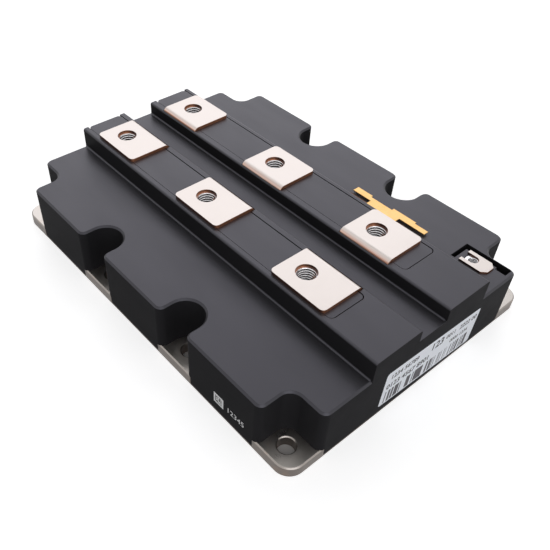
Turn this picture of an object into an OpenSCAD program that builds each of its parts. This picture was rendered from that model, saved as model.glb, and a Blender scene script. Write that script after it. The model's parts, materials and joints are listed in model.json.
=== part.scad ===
// High-power IGBT module with six screw terminals in two rows.
// Millimetres. Origin at the centre of the base plate's underside, +Z up.
// +X is the end that carries the label and -Y the side of the emitter row.

/* [Base plate] */
// Length along X
plate_l = 190; // [150:1:240]
// Width along Y
plate_w = 140; // [125:1:180]
// Thickness
plate_t = 5; // [3:0.5:8]
// Corner radius
plate_r = 7; // [3:0.5:10]
// Bevel round the top edge
plate_bevel = 0.5; // [0.2:0.1:1]
// Diameter of the mounting holes
mount_d = 7; // [5:0.1:9]
// Bevel round the mounting holes
mount_bevel = 0.4; // [0.2:0.1:0.8]
// Distance of the outer mounting holes from the ends
mount_from_end = 9.5; // [8:0.5:14]
// Distance of the mounting holes from the long sides
mount_from_side = 8; // [7:0.5:12]
// Distance along X from the centre to the inner mounting holes
mount_x_inner = 28.5; // [20:0.5:40]

/* [Housing] */
// Height of the side decks above the plate's underside
deck_z = 27; // [26:0.5:40]
// Bevel round the top of the decks
deck_bevel = 0.8; // [0.3:0.1:1.5]
// Rise of the valley between the ridges above the decks
valley_rise = 3.5; // [1.5:0.5:6]
// Rise of the ridges above the decks
ridge_rise = 9.5; // [8.5:0.5:15]
// Distance along Y from the centre to the middle of each ridge
ridge_y = 20.05; // [18:0.05:28]
// Width of each ridge
ridge_w = 24.4; // [23:0.1:30]
// Wall and lid thickness
wall = 3; // [2:0.1:4]
// Height of the bare strip of plate below the skirt
skirt_z = 0.7; // [0.3:0.1:2]
// Thickness of the skirt that wraps the plate
skirt_t = 1.8; // [1:0.1:2.5]
// Play between the skirt and the plate
skirt_play = 0.1; // [0.05:0.05:0.3]
// Width of the screw notches in the long sides
notch_w = 16; // [12:0.5:20]
// Distance from the mounting holes to the walls behind them
hole_to_wall = 6.6; // [4:0.1:10]
// Radius of the outer corners of the lobes
lobe_r = 3; // [1:0.1:5]
// Radius inside the corner cut-outs
cutout_r = 5.2; // [2:0.1:8]
// Radius of the ridges' shoulders
shoulder_r = 1; // [0.4:0.1:2]
// Radius of the fillet at the foot of the ridges
foot_r = 0.8; // [0.3:0.1:1.5]

/* [Nut carriers] */
// Width of each carrier bar
bar_w = 18; // [16:0.1:18.5]
// Distance along Y from the centre to the middle of each bar
bar_y = 20.4; // [19:0.1:28]
// Distance of the bars' closed ends from the labelled end
bar_from_end = 24.25; // [20:0.25:30]
// Distance of the bars' open ends inside the housing's end
bar_setback = 0.5; // [0:0.1:2]
// Depth below the terminals that a screw may use
screw_depth = 16; // [12:0.5:18]
// Floor of a bar below its screw wells
bar_floor = 1.5; // [1:0.1:3]
// Play between a bar and its channel
bar_play = 0.3; // [0.15:0.05:0.4]
// Shift of the channels against the bars towards +Y
channel_shift = 0.15; // [0:0.05:0.2]
// Thickness of the housing under the bars
channel_floor = 2; // [1.5:0.1:3]
// Radius of the bars' corners
bar_r = 2; // [0.5:0.1:4]

/* [Main terminals] */
// Distance along X between terminals
terminal_pitch = 61.5; // [50:0.5:80]
// Place along X of the middle terminals
terminal_x = -13; // [-30:0.5:30]
// Distance along Y from the centre to the terminal holes
terminal_y = 20; // [18:0.1:28]
// Thickness of the terminal sheet
terminal_t = 1.5; // [1:0.1:2.5]
// Distance along Y from the centre to the bent side of the terminals
terminal_in = 8.7; // [8:0.1:12]
// Distance along Y from the centre to the free side of the terminals
terminal_out = 30.1; // [28:0.1:40]
// Outer radius of the bend
bend_r = 2.6; // [2:0.1:4]
// Radius of the free corners
terminal_r = 2; // [0.5:0.1:4]
// Reach of a terminal from its hole towards -X
reach_back = 10; // [8:0.1:14]
// Reach of an emitter terminal from its hole towards +X
emitter_reach = 18.7; // [10:0.1:22]
// Reach of a collector terminal from its hole towards +X
collector_reach = 15.7; // [10:0.1:22]
// Diameter of the screw holes in the terminals
terminal_d = 9; // [8.4:0.1:10]
// Width of the leg that goes down into the housing
leg_w = 20; // [14:0.5:20]
// Width of each prong of a leg
prong_w = 6; // [4:0.5:6.5]
// Height at which a leg divides into prongs
fork_z = 22; // [20:0.5:28]
// Height of the prongs that cross to the other row
cross_z = 13; // [11:0.5:16]
// Length of a prong's soldered foot
foot_l = 4.5; // [3:0.5:6]
// Play between a leg and its slot
leg_play = 0.2; // [0.1:0.05:0.5]

/* [Nuts] */
// Width across flats of the M8 nuts
main_af = 13; // [10:0.5:14]
// Height of the M8 nuts
main_h = 6.5; // [5:0.1:8]
// Minor diameter of the M8 threads
main_minor_d = 6.8; // [5:0.1:7]
// Width across flats of the M4 nuts
aux_af = 7; // [5.5:0.1:8]
// Height of the M4 nuts
aux_h = 3.2; // [2.4:0.1:4]
// Minor diameter of the M4 threads
aux_minor_d = 3.3; // [2.5:0.1:3.6]
// Play between a nut and its pocket
nut_play = 0.1; // [0.05:0.05:0.3]

/* [Auxiliary terminals] */
// Place along X of the gate terminal
gate_x = 20.25; // [15:0.25:30]
// Place along X of the auxiliary emitter terminal
sense_x = 41.25; // [35:0.25:60]
// Distance from the ridge to the middle of the gate and auxiliary emitter terminals
control_from_ridge = 5.35; // [5.15:0.05:11.75]
// Lid material round their nuts, beyond the terminals
post_margin = 1; // [0.5:0.1:2]
// Distance of the auxiliary collector terminal from the labelled end
tap_from_end = 15.6; // [15:0.1:20]
// Distance along Y of the auxiliary collector terminal
tap_y = 47.1; // [40:0.1:47.5]
// Thickness of the auxiliary terminal sheet
aux_t = 0.8; // [0.5:0.1:1.2]
// Width of the auxiliary terminals
aux_w = 8.2; // [7:0.1:10]
// Diameter of the holes in the auxiliary terminals
aux_d = 4.5; // [4.1:0.1:5]
// Reach of an auxiliary terminal from its hole to its open end
aux_back = 4.4; // [4:0.1:6]
// Reach of an auxiliary terminal from its hole to its bent end
aux_front = 8.2; // [6:0.1:9]
// Width of the legs of the auxiliary terminals
aux_leg_w = 4; // [2:0.1:5]
// Length of the feet of the auxiliary terminals
aux_foot = 4; // [2:0.1:6]
// Depth below the auxiliary terminals that a screw may use
aux_screw_depth = 9.4; // [6:0.1:10]
// Width of the slot that fences the auxiliary collector terminal
moat_w = 2; // [1:0.1:3]
// Depth of that slot
moat_depth = 5; // [2:0.5:8]
// Seat of the auxiliary collector terminal beyond its open end
moat_gap = 1.8; // [1:0.1:3]
// Width of the ledge between that seat and the slot
ledge_w = 1.1; // [0.5:0.1:2]
// Drop of the ledge below the deck
ledge_drop = 1.5; // [0.5:0.1:3]
// Thickness of the strip that shorts the gate
strip_t = 0.5; // [0.2:0.1:0.8]
// Width of the strip over the terminals
strip_w = 6; // [4.5:0.1:8]
// Width of the strip's free edge
strip_edge_w = 2.3; // [1:0.1:4]
// Distance along Y from the terminals' middle to the strip's free edge
strip_edge_y = 5.8; // [5:0.1:8]

/* [Power circuit] */
// Length of a ceramic tile along X, where the gap between the tiles allows it
tile_l = 56; // [45:0.5:60]
// Width of a ceramic tile along Y
tile_w = 42; // [38:0.5:46]
// Distance along X between the tiles, at most that between the terminals
tile_pitch = 61; // [57:0.5:78]
// Least gap along X between the tiles
tile_gap = 5; // [1:0.5:5]
// Distance along Y from the centre to the middle of the tiles
tile_y = 28.6; // [28:0.1:36]
// Thickness of the ceramic
tile_t = 1; // [0.4:0.1:1.5]
// Thickness of the copper on each face
copper_t = 0.3; // [0.2:0.05:0.6]
// Bare margin round the copper
copper_margin = 1; // [0.5:0.1:2]
// Gap between the copper pads
pad_gap = 1; // [0.5:0.1:2]
// Side of a transistor chip, where the gap between the chips allows it
igbt_a = 9.6; // [7:0.1:11]
// Side of a diode chip
diode_a = 7; // [5:0.1:9]
// Thickness of the chips
chip_t = 0.3; // [0.2:0.05:0.6]
// Distance along X between the chips, where the copper is long enough
chip_pitch = 12.5; // [12:0.1:12.9]
// Least gap between the chips
chip_gap = 1; // [0.5:0.1:1]
// Width of the emitter pad's long strip
emitter_pad_w = 5; // [3:0.1:7]
// Depth of the pads' strip on which the terminals land
landing_w = 10; // [9:0.1:12]
// Width of the gate pad
gate_pad_w = 2.8; // [1.5:0.1:4]
// Width of the ribbons that join the chips to the emitter pads
ribbon_w = 2; // [1:0.1:2.4]
// Width of the ribbons that join the chips to the gate pads
gate_ribbon_w = 0.5; // [0.3:0.1:0.6]
// Thickness of the ribbons
ribbon_t = 0.25; // [0.1:0.05:0.4]
// Length of a ribbon's bonded foot
ribbon_foot = 2.4; // [1:0.1:2.8]
// Rise of the ribbons' arches above the chips
ribbon_rise = 2; // [1:0.1:2.2]
// Height of the gel's surface above the plate's underside
gel_z = 15; // [14.6:0.1:18]
// Thickness of the circuit board that carries the gate signals
board_t = 1.6; // [0.8:0.1:2.4]
// Diameter of the pins between the board and the tiles
pin_d = 1; // [0.6:0.1:1.5]
// Gap between the board and the housing's long walls
board_gap = 1.2; // [0.5:0.1:4]
// Height by which the pins stand out of the board
pin_stub = 0.8; // [0.3:0.1:1.5]
// Play of the main terminals' legs in the board
board_play = 0.5; // [0.1:0.1:1]

/* [Label] */
// Length of the label along Y
label_w = 57; // [40:1:80]
// Height of the label
label_h = 19.5; // [10:0.5:22]
// Place of the label's middle along Y
label_y = 5; // [-20:0.5:20]
// Height of the label's middle
label_z = 12.4; // [10:0.1:16]
// Tilt of the label in its plane
label_tilt = -2.5; // [-5:0.1:5]
// Thickness of the label
label_t = 0.1; // [0.05:0.01:0.2]
// Depth of the label's recess
label_sink = 0.2; // [0.1:0.05:0.5]
// Radius of the label's corners
label_r = 1.5; // [0.5:0.1:3]

/* [Hidden] */
$fn = 48;
eps = 0.01;
rows = [-1, 1];
columns = [-1, 0, 1];
half_l = plate_l / 2;
half_w = plate_w / 2;
mount_x_outer = half_l - mount_from_end;
mount_y = half_w - mount_from_side;
valley_z = deck_z + valley_rise;
ridge_z = deck_z + ridge_rise;
wall_x = mount_x_outer - hole_to_wall;
wall_y = mount_y - hole_to_wall;
lobes = [
    [-wall_x, -mount_x_inner - notch_w / 2],
    [-mount_x_inner + notch_w / 2, mount_x_inner - notch_w / 2],
    [mount_x_inner + notch_w / 2, wall_x]
];
main_x = [for (c = columns) terminal_x + c * terminal_pitch];
terminal_z = ridge_z + terminal_t;
bar_bottom = terminal_z - screw_depth - bar_floor;
vault_z = bar_bottom - channel_floor;
bar_end_x = half_l - bar_from_end;
aux_top_z = deck_z + aux_t;
copper_z = plate_t + copper_t + tile_t;
pad_z = copper_z + copper_t;
chip_z = pad_z + chip_t;
control_x = [gate_x, sense_x];
control_y = ridge_y + ridge_w / 2 + control_from_ridge;
tap_x = half_l - tap_from_end;
seat_x = tap_x - aux_back - moat_gap;
seat_y = tap_y + aux_w / 2;
board_z = gel_z;
board_x = tap_x + aux_front - aux_foot;
board_y = wall_y - wall - board_gap;
post_z = board_z + board_t;
tile_step = min(tile_pitch, terminal_pitch);
tile_side = min(tile_l, tile_step - tile_gap);
pad_l = tile_side - 2 * copper_margin;
chip_reach = pad_l / 2 - prong_w - pad_gap - ribbon_w / 2;
chip_step = min(chip_pitch, chip_reach / 1.5);
igbt_side = min(igbt_a, chip_step - chip_gap);
tap_foot = max(aux_foot, tap_x + aux_front + aux_foot - tile_step - pad_l / 2);
pad_w = tile_w - 2 * copper_margin;
strip_y = landing_w - pad_w / 2;
chip_y = strip_y + emitter_pad_w + 2 * pad_gap;
gate_y = pad_w / 2 - gate_pad_w;
emitter_mid = strip_y + pad_gap + emitter_pad_w / 2;
igbt_mid = chip_y + pad_gap + igbt_side / 2;
gate_mid = gate_y + gate_pad_w / 2;
diode_mid = gate_y - 2 * pad_gap - diode_a / 2;

// ---------------------------------------------------------------- outlines

// Rectangle between two corners with round corners
module slab(x0, x1, y0, y1, r) {
    translate([x0 + r, y0])
        square([x1 - x0 - 2 * r, y1 - y0]);
    translate([x0, y0 + r])
        square([x1 - x0, y1 - y0 - 2 * r]);
    for (x = [x0 + r, x1 - r], y = [y0 + r, y1 - r])
        translate([x, y])
            circle(r);
}

// Infill of an inside corner at the origin, in the quadrant that sx, sy give
module inside_corner(r, sx, sy) {
    difference() {
        translate([sx > 0 ? -eps : -r, sy > 0 ? -eps : -r])
            square(r + eps);
        translate([sx * r, sy * r])
            circle(r);
    }
}

// Plate of a slab's outline, its upper edge bevelled by b
module bevelled_slab(x0, x1, y0, y1, r, z0, z1, b) {
    translate([0, 0, z0])
        linear_extrude(z1 - b - z0)
            slab(x0, x1, y0, y1, r);
    translate([0, 0, z1 - b]) {
        along_x(x0 + r, x1 - r)
            polygon([[y0, 0], [y1, 0], [y1 - b, b], [y0 + b, b]]);
        along_y(y0 + r, y1 - r)
            polygon([[x0, 0], [x1, 0], [x1 - b, b], [x0 + b, b]]);
        for (x = [x0 + r, x1 - r], y = [y0 + r, y1 - r])
            translate([x, y, 0])
                cylinder(r1 = r, r2 = r - b, h = b);
    }
}

// Bevelled edge of an inside corner's infill, rising from the origin
module inside_bevel(r, sx, sy, b) {
    difference() {
        translate([sx > 0 ? -b : -r, sy > 0 ? -b : -r, 0])
            cube([r + b, r + b, b]);
        translate([sx * r, sy * r, 0])
            cylinder(r1 = r, r2 = r + b, h = b);
    }
}

// Three lobes a side, with the screw notches between them and cut-out corners.
// inset moves every wall inwards.
module housing_outline(inset = 0, round = true) {
    r = max(lobe_r - inset, 0.5);
    slab(-half_l + inset, half_l - inset, -wall_y + inset, wall_y - inset, r);
    for (lobe = lobes)
        slab(lobe[0] + inset, lobe[1] - inset, -half_w + inset, half_w - inset, r);
    if (round)
        for (sy = rows) {
            for (x = [-mount_x_inner, mount_x_inner], sx = rows)
                translate([x - sx * notch_w / 2, sy * wall_y])
                    inside_corner(notch_w / 2, sx, sy);
            for (sx = rows)
                translate([sx * wall_x, sy * wall_y])
                    inside_corner(cutout_r, sx, sy);
        }
}

// The housing's outline as a block up to the decks, bevelled round the top
module housing_block() {
    bevelled_slab(-half_l, half_l, -wall_y, wall_y, lobe_r, plate_t, deck_z, deck_bevel);
    for (lobe = lobes)
        bevelled_slab(
            lobe[0], lobe[1], -half_w, half_w, lobe_r, plate_t, deck_z, deck_bevel
        );
    for (sx = rows, sy = rows) {
        for (x = [-mount_x_inner, mount_x_inner])
            translate([x - sx * notch_w / 2, sy * wall_y, 0])
                block_corner(notch_w / 2, sx, sy);
        translate([sx * wall_x, sy * wall_y, 0])
            block_corner(cutout_r, sx, sy);
    }
}

// Rounded inside corner of that block
module block_corner(r, sx, sy) {
    translate([0, 0, plate_t])
        linear_extrude(deck_z - deck_bevel - plate_t)
            inside_corner(r, sx, sy);
    translate([0, 0, deck_z - deck_bevel])
        inside_bevel(r, sx, sy, deck_bevel);
}

// Cross-section of a ridge in Y and Z, standing on base
module ridge_section(base) {
    translate([-ridge_w / 2, base])
        square([ridge_w, ridge_z - shoulder_r - base]);
    translate([-ridge_w / 2 + shoulder_r, base])
        square([ridge_w - 2 * shoulder_r, ridge_z - base]);
    for (s = rows)
        translate([s * (ridge_w / 2 - shoulder_r), ridge_z - shoulder_r])
            circle(shoulder_r);
}

// Fillets along the two sides of a ridge's foot
module ridge_feet() {
    translate([-ridge_w / 2, valley_z])
        inside_corner(foot_r, -1, 1);
    translate([ridge_w / 2, deck_z])
        inside_corner(foot_r, 1, 1);
}

// Puts a shape that is drawn for the +Y side on the side that s names
module on_side(s) {
    if (s < 0)
        mirror([0, 1, 0])
            children();
    else
        children();
}

// Extrudes a section in Y and Z along X
module along_x(x0, x1) {
    translate([x0, 0, 0])
        rotate([90, 0, 90])
            linear_extrude(x1 - x0)
                children();
}

// Extrudes a section in X and Z along Y
module along_y(y0, y1) {
    translate([0, y1, 0])
        rotate([90, 0, 0])
            linear_extrude(y1 - y0)
                children();
}

module hex_prism(af, h) {
    cylinder(d = af / cos(30), h = h, $fn = 6);
}

module box(x, y, z) {
    translate([x[0], y[0], z[0]])
        cube([x[1] - x[0], y[1] - y[0], z[1] - z[0]]);
}

// ---------------------------------------------------------------- base plate

module base_plate() {
    color([0.66, 0.65, 0.63])
        difference() {
            bevelled_slab(
                -half_l, half_l, -half_w, half_w, plate_r, 0, plate_t, plate_bevel
            );
            // rebate that the housing's skirt fills
            translate([0, 0, skirt_z])
                linear_extrude(plate_t)
                    difference() {
                        housing_outline();
                        housing_outline(skirt_t + skirt_play, false);
                    }
            for (x = [mount_x_outer, mount_x_inner], sx = rows, sy = rows)
                translate([sx * x, sy * mount_y, 0]) {
                    translate([0, 0, -1])
                        cylinder(d = mount_d, h = plate_t + 2);
                    translate([0, 0, plate_t - mount_bevel])
                        cylinder(
                            d1 = mount_d, d2 = mount_d + 4 * mount_bevel, h = 2 * mount_bevel
                        );
                }
        }
}

// ---------------------------------------------------------------- housing

module housing_shell() {
    low = deck_z - deck_bevel;
    housing_block();
    // skirt round the plate
    translate([0, 0, skirt_z])
        linear_extrude(plate_t - skirt_z + eps)
            difference() {
                housing_outline();
                housing_outline(skirt_t, false);
            }
    box([-half_l, half_l], [-ridge_y, ridge_y], [low, valley_z]);
    for (s = rows)
        on_side(s) {
            along_x(-half_l, half_l)
                translate([ridge_y, 0])
                    ridge_section(low);
            along_x(-half_l + deck_bevel, half_l - deck_bevel)
                translate([ridge_y, 0])
                    ridge_feet();
        }
}

// Space under the lid
module cavity() {
    ridge_out = ridge_y + ridge_w / 2;
    ridge_in = ridge_y - ridge_w / 2;
    translate([0, 0, plate_t - eps])
        linear_extrude(vault_z - plate_t + eps)
            housing_outline(wall, false);
    // bays under the decks
    intersection() {
        translate([0, 0, plate_t])
            linear_extrude(deck_z - wall - plate_t)
                housing_outline(wall, false);
        for (s = rows)
            on_side(s)
                box(
                    [-half_l, seat_x - moat_w - wall],
                    [ridge_out + wall / 2, half_w],
                    [plate_t, deck_z]
                );
    }
    // bay under the valley
    box(
        [-half_l + wall, half_l - wall],
        [-ridge_in + wall / 2, ridge_in - wall / 2],
        [vault_z - eps, valley_z - wall]
    );
}

module housing_cuts() {
    // channels for the nut carriers, open at the far end
    for (s = rows)
        translate([0, s * bar_y + channel_shift, bar_bottom])
            linear_extrude(ridge_z - bar_bottom + 1)
                slab(
                    -half_l - bar_r - 1, bar_end_x + bar_play,
                    -bar_w / 2 - bar_play, bar_w / 2 + bar_play, bar_r + bar_play
                );
    // slots for the legs of the main terminals
    for (s = rows, x = main_x)
        on_side(s)
            box(
                [x - leg_w / 2 - leg_play, x + leg_w / 2 + leg_play],
                [terminal_in - leg_play, terminal_in + terminal_t + leg_play],
                [vault_z - 1, ridge_z + 1]
            );
    // reliefs for the bends of the main terminals
    for (x = main_x) {
        relief(x, emitter_reach, -1);
        relief(x, collector_reach, 1);
    }
    // slot and ledge beside the auxiliary collector terminal
    box(
        [seat_x - moat_w, seat_x],
        [tap_y - aux_w / 2, seat_y + ledge_w + moat_w],
        [deck_z - moat_depth, deck_z + 1]
    );
    box(
        [seat_x - moat_w, half_l - moat_w],
        [seat_y + ledge_w, seat_y + ledge_w + moat_w],
        [deck_z - moat_depth, deck_z + 1]
    );
    box(
        [tap_x + aux_front + 2 * leg_play, half_l - moat_w],
        [tap_y + aux_leg_w / 2 + 4 * leg_play, seat_y + ledge_w + moat_w],
        [deck_z - moat_depth, deck_z + 1]
    );
    box(
        [seat_x - eps, half_l - moat_w],
        [seat_y, seat_y + ledge_w + eps],
        [deck_z - ledge_drop, deck_z + 1]
    );
    box(
        [tap_x + aux_front - aux_t - leg_play, tap_x + aux_front + leg_play],
        [tap_y - aux_leg_w / 2 - leg_play, tap_y + aux_leg_w / 2 + leg_play],
        [vault_z - 1, deck_z + 1]
    );
    nut_well(tap_x, tap_y);
    label_sheet(2 * label_sink);
    // slots and nut wells of the gate and auxiliary emitter terminals
    for (x = control_x) {
        nut_well(x, control_y);
        box(
            [x + aux_front - aux_t - leg_play, x + aux_front + leg_play],
            [control_y - aux_leg_w / 2 - leg_play, control_y + aux_leg_w / 2 + leg_play],
            [post_z - 1, deck_z + 1]
        );
        box(
            [x + aux_front - aux_foot - leg_play, x + aux_front + leg_play],
            [control_y - aux_leg_w / 2 - leg_play, control_y + aux_leg_w / 2 + leg_play],
            [post_z - 1, post_z + aux_t + leg_play]
        );
    }
}

// The label's sheet of thickness t, its back face let in by label_sink
module label_sheet(t) {
    translate([half_l - label_sink, label_y, label_z])
        rotate([label_tilt, 0, 0])
            rotate([90, 0, 90])
                linear_extrude(t)
                    slab(-label_w / 2, label_w / 2, -label_h / 2, label_h / 2, label_r);
}

// Notch in the channel's inner wall under the bend of a terminal
module relief(x, reach, side) {
    on_side(side)
        box(
            [x - reach_back - leg_play, x + reach + leg_play],
            [terminal_in - leg_play, terminal_in + bend_r],
            [terminal_z - bend_r - leg_play, ridge_z + 1]
        );
}

module nut_well(x, y) {
    translate([x, y, deck_z - aux_h])
        rotate([0, 0, 30])
            hex_prism(aux_af + 2 * nut_play, aux_h + 1);
    translate([x, y, aux_top_z - aux_screw_depth])
        cylinder(d = aux_d, h = aux_screw_depth);
}

module housing() {
    color([0.16, 0.16, 0.17])
        difference() {
            housing_shell();
            difference() {
                cavity();
                housing_posts();
            }
            housing_cuts();
        }
}

// Blocks under the lid that hold the nuts of the gate and emitter terminals
module housing_posts() {
    for (x = control_x)
        box(
            [x - aux_af, x + aux_front + wall / 2],
            [ridge_y + ridge_w / 2, control_y + aux_w / 2 + post_margin],
            [post_z, deck_z]
        );
}

// ---------------------------------------------------------------- terminals

// Nut carrier: a bar with a hexagonal pocket and a screw well at each terminal
module nut_bar(side) {
    color([0.13, 0.13, 0.14])
        difference() {
            translate([0, side * bar_y, bar_bottom])
                linear_extrude(ridge_z - bar_bottom)
                    slab(-half_l + bar_setback, bar_end_x, -bar_w / 2, bar_w / 2, bar_r);
            for (x = main_x)
                translate([x, side * terminal_y, 0]) {
                    translate([0, 0, ridge_z - main_h])
                        hex_prism(main_af + 2 * nut_play, main_h + 1);
                    translate([0, 0, bar_bottom + bar_floor])
                        cylinder(d = terminal_d, h = ridge_z);
                }
        }
}

module main_nuts() {
    color([0.62, 0.62, 0.62])
        for (x = main_x, s = rows)
            translate([x, s * terminal_y, ridge_z - main_h])
                nut(main_af, main_h, main_minor_d);
}

// Hexagonal nut with a bevelled bore, its corners turned off to a cone at the top
module nut(af, h, minor_d) {
    bevel = af / 22;
    difference() {
        intersection() {
            hex_prism(af, h);
            cylinder(r1 = af / 2 + h, r2 = af / 2, h = h);
        }
        translate([0, 0, -1])
            cylinder(d = minor_d, h = h + 2);
        translate([0, 0, h - bevel])
            cylinder(d1 = minor_d, d2 = minor_d + 4 * bevel, h = 2 * bevel);
    }
}

// Screw plate with its bend, for the row at +Y; the hole is at x = 0
module screw_plate(reach) {
    difference() {
        translate([0, 0, ridge_z])
            linear_extrude(terminal_t) {
                slab(
                    -reach_back, reach, terminal_in + bend_r,
                    terminal_out, terminal_r
                );
                translate([-reach_back, terminal_in + bend_r])
                    square([reach_back + reach, terminal_r * 2]);
            }
        translate([0, terminal_y, ridge_z - 1])
            cylinder(d = terminal_d, h = terminal_t + 2);
    }
    // quarter bend over the ridge's inner edge
    intersection() {
        translate([-reach_back, terminal_in + bend_r, terminal_z - bend_r])
            rotate([0, 90, 0])
                difference() {
                    cylinder(r = bend_r, h = reach_back + reach);
                    translate([0, 0, -1])
                        cylinder(r = bend_r - terminal_t, h = reach_back + reach + 2);
                }
        box(
            [-reach_back, reach],
            [terminal_in, terminal_in + bend_r + eps],
            [terminal_z - bend_r - eps, terminal_z]
        );
    }
}

// Leg from the bend down to the prongs
module leg() {
    box(
        [-leg_w / 2, leg_w / 2],
        [terminal_in, terminal_in + terminal_t],
        [fork_z, terminal_z - bend_r + eps]
    );
}

// Prong straight down to a foot on the row's own tile
module own_prong(x) {
    box([x, x + prong_w], [terminal_in, terminal_in + terminal_t], [pad_z, fork_z + eps]);
    box([x, x + prong_w], [terminal_in, terminal_in + foot_l], [pad_z, pad_z + terminal_t]);
}

// Prong that crosses under the valley to a foot on the other row's tile
module cross_prong(x) {
    box([x, x + prong_w], [terminal_in, terminal_in + terminal_t], [cross_z, fork_z + eps]);
    box(
        [x, x + prong_w],
        [-terminal_in - foot_l - terminal_t, terminal_in + terminal_t],
        [cross_z, cross_z + terminal_t]
    );
    box(
        [x, x + prong_w],
        [-terminal_in - foot_l - terminal_t, -terminal_in - foot_l],
        [pad_z, cross_z + eps]
    );
    box(
        [x, x + prong_w],
        [-terminal_in - 2 * foot_l, -terminal_in - foot_l],
        [pad_z, pad_z + terminal_t]
    );
}

module collector_terminal(i) {
    color([0.93, 0.88, 0.84])
        translate([main_x[i], 0, 0]) {
            screw_plate(collector_reach);
            leg();
            own_prong(-leg_w / 2);
            cross_prong(leg_w / 2 - prong_w);
        }
}

module emitter_terminal(i) {
    color([0.93, 0.88, 0.84])
        translate([main_x[i], 0, 0])
            mirror([0, 1, 0]) {
                screw_plate(emitter_reach);
                leg();
                own_prong(-leg_w / 2);
                cross_prong(-prong_w / 2);
            }
}

// Fork-shaped screw tab, its open end to -X and its leg going down at +X to a foot
module aux_tab(leg_bottom, foot) {
    bevel = (aux_w - aux_leg_w) / 2;
    translate([0, 0, deck_z])
        linear_extrude(aux_t)
            difference() {
                polygon([
                    [-aux_back, -aux_w / 2],
                    [aux_front - bevel, -aux_w / 2],
                    [aux_front, -aux_leg_w / 2],
                    [aux_front, aux_leg_w / 2],
                    [aux_front - bevel, aux_w / 2],
                    [-aux_back, aux_w / 2]
                ]);
                circle(d = aux_d);
                translate([-aux_back - 1, -aux_d / 2])
                    square([aux_back + 1, aux_d]);
            }
    box(
        [aux_front - aux_t, aux_front],
        [-aux_leg_w / 2, aux_leg_w / 2],
        [leg_bottom, deck_z + eps]
    );
    box(
        [aux_front - foot, aux_front],
        [-aux_leg_w / 2, aux_leg_w / 2],
        [leg_bottom, leg_bottom + aux_t]
    );
}

module aux_collector_terminal() {
    color([0.9, 0.86, 0.82])
        translate([tap_x, tap_y, 0])
            aux_tab(pad_z, tap_foot);
}

module gate_terminal() {
    color([0.9, 0.86, 0.82])
        translate([gate_x, control_y, 0])
            aux_tab(post_z, aux_foot);
}

module aux_emitter_terminal() {
    color([0.9, 0.86, 0.82])
        translate([sense_x, control_y, 0])
            aux_tab(post_z, aux_foot);
}

module aux_nuts() {
    color([0.72, 0.7, 0.66])
        for (p = [[gate_x, control_y], [sense_x, control_y], [tap_x, tap_y]])
            translate([p[0], p[1], deck_z - aux_h])
                rotate([0, 0, 30])
                    nut(aux_af, aux_h, aux_minor_d);
}

// Thin brass strip that bridges the gate and auxiliary emitter terminals, with a
// free edge beyond them whose teeth are given as start, end and depth along gate_x
module shorting_strip() {
    reach = sense_x - gate_x;
    near = control_y - strip_w / 2;
    edge = control_y + strip_edge_y;
    teeth = [
        [-aux_back, aux_back, strip_edge_w / 2],
        [reach - aux_back, reach + aux_front, strip_edge_w * 0.6],
        [reach + aux_front, reach + 2 * aux_front - 1, strip_edge_w / 6]
    ];
    color([0.85, 0.68, 0.36])
        translate([gate_x, 0, aux_top_z])
            linear_extrude(strip_t) {
                translate([-aux_back, near])
                    square([reach + 2 * aux_back, strip_w]);
                translate([reach / 2 - aux_back, near])
                    square([reach - aux_back, edge - near + strip_edge_w]);
                translate([-aux_back, edge])
                    square([reach + aux_back + 2 * aux_front - 1, strip_edge_w]);
                for (tooth = teeth)
                    translate([tooth[0], edge])
                        square([tooth[1] - tooth[0], strip_edge_w + tooth[2]]);
            }
}

// ---------------------------------------------------------------- power circuit

module at_tiles() {
    for (c = columns, s = rows)
        translate([c * tile_step, s * tile_y, 0])
            on_side(s)
                children();
}

module bottom_copper() {
    color([0.78, 0.48, 0.32])
        at_tiles()
            translate([-pad_l / 2, -pad_w / 2, plate_t])
                cube([pad_l, pad_w, copper_t]);
}

module ceramic_tiles() {
    color([0.86, 0.85, 0.8])
        at_tiles()
            translate([-tile_side / 2, -tile_w / 2, plate_t + copper_t])
                cube([tile_side, tile_w, tile_t]);
}

// Copper on the tiles' upper faces. Each tile's outer edge is at +Y here, and
// the terminals land between its inner edge and strip_y. land is the middle of
// the emitter's landing, and the collector lands on the side that side names.
module collector_pad(land, side) {
    edge = land + side * (prong_w / 2 + pad_gap);
    end = side * pad_l / 2;
    arm_w = min(prong_w, abs(end - edge));
    translate([-pad_l / 2, chip_y])
        square([pad_l, gate_y - pad_gap - chip_y]);
    translate([min(edge, end), -pad_w / 2])
        square([abs(end - edge), landing_w]);
    translate([min(end - side * arm_w, end), -pad_w / 2])
        square([arm_w, chip_y + pad_w / 2 + eps]);
    translate([pad_l / 2 - prong_w, chip_y])
        square([prong_w, pad_w / 2 - chip_y]);
}

module emitter_pad(land, side) {
    arm = pad_l - prong_w - pad_gap;
    translate([side > 0 ? -pad_l / 2 : pad_l / 2 - arm, strip_y + pad_gap])
        square([arm, emitter_pad_w]);
    translate([land - prong_w / 2 - pad_gap / 2, -pad_w / 2])
        square([prong_w + pad_gap, landing_w + pad_gap + eps]);
}

module gate_pad() {
    translate([-pad_l / 2, gate_y])
        square([pad_l - prong_w - pad_gap, gate_pad_w]);
}

// Place of the emitter's landing on the tile of column c and row s
function landing(c, s) =
    main_x[c + 1] - c * tile_step + (s < 0 ? (prong_w - leg_w) / 2 : 0);

// Draws collector pads (kind 0) or emitter pads (kind 1) on every tile
module pads(kind) {
    for (c = columns, s = rows)
        translate([c * tile_step, s * tile_y, copper_z])
            on_side(s)
                linear_extrude(copper_t)
                    if (kind == 0)
                        collector_pad(landing(c, s), -s);
                    else
                        emitter_pad(landing(c, s), -s);
}

module collector_pads() {
    color([0.78, 0.48, 0.32])
        pads(0);
}

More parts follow.
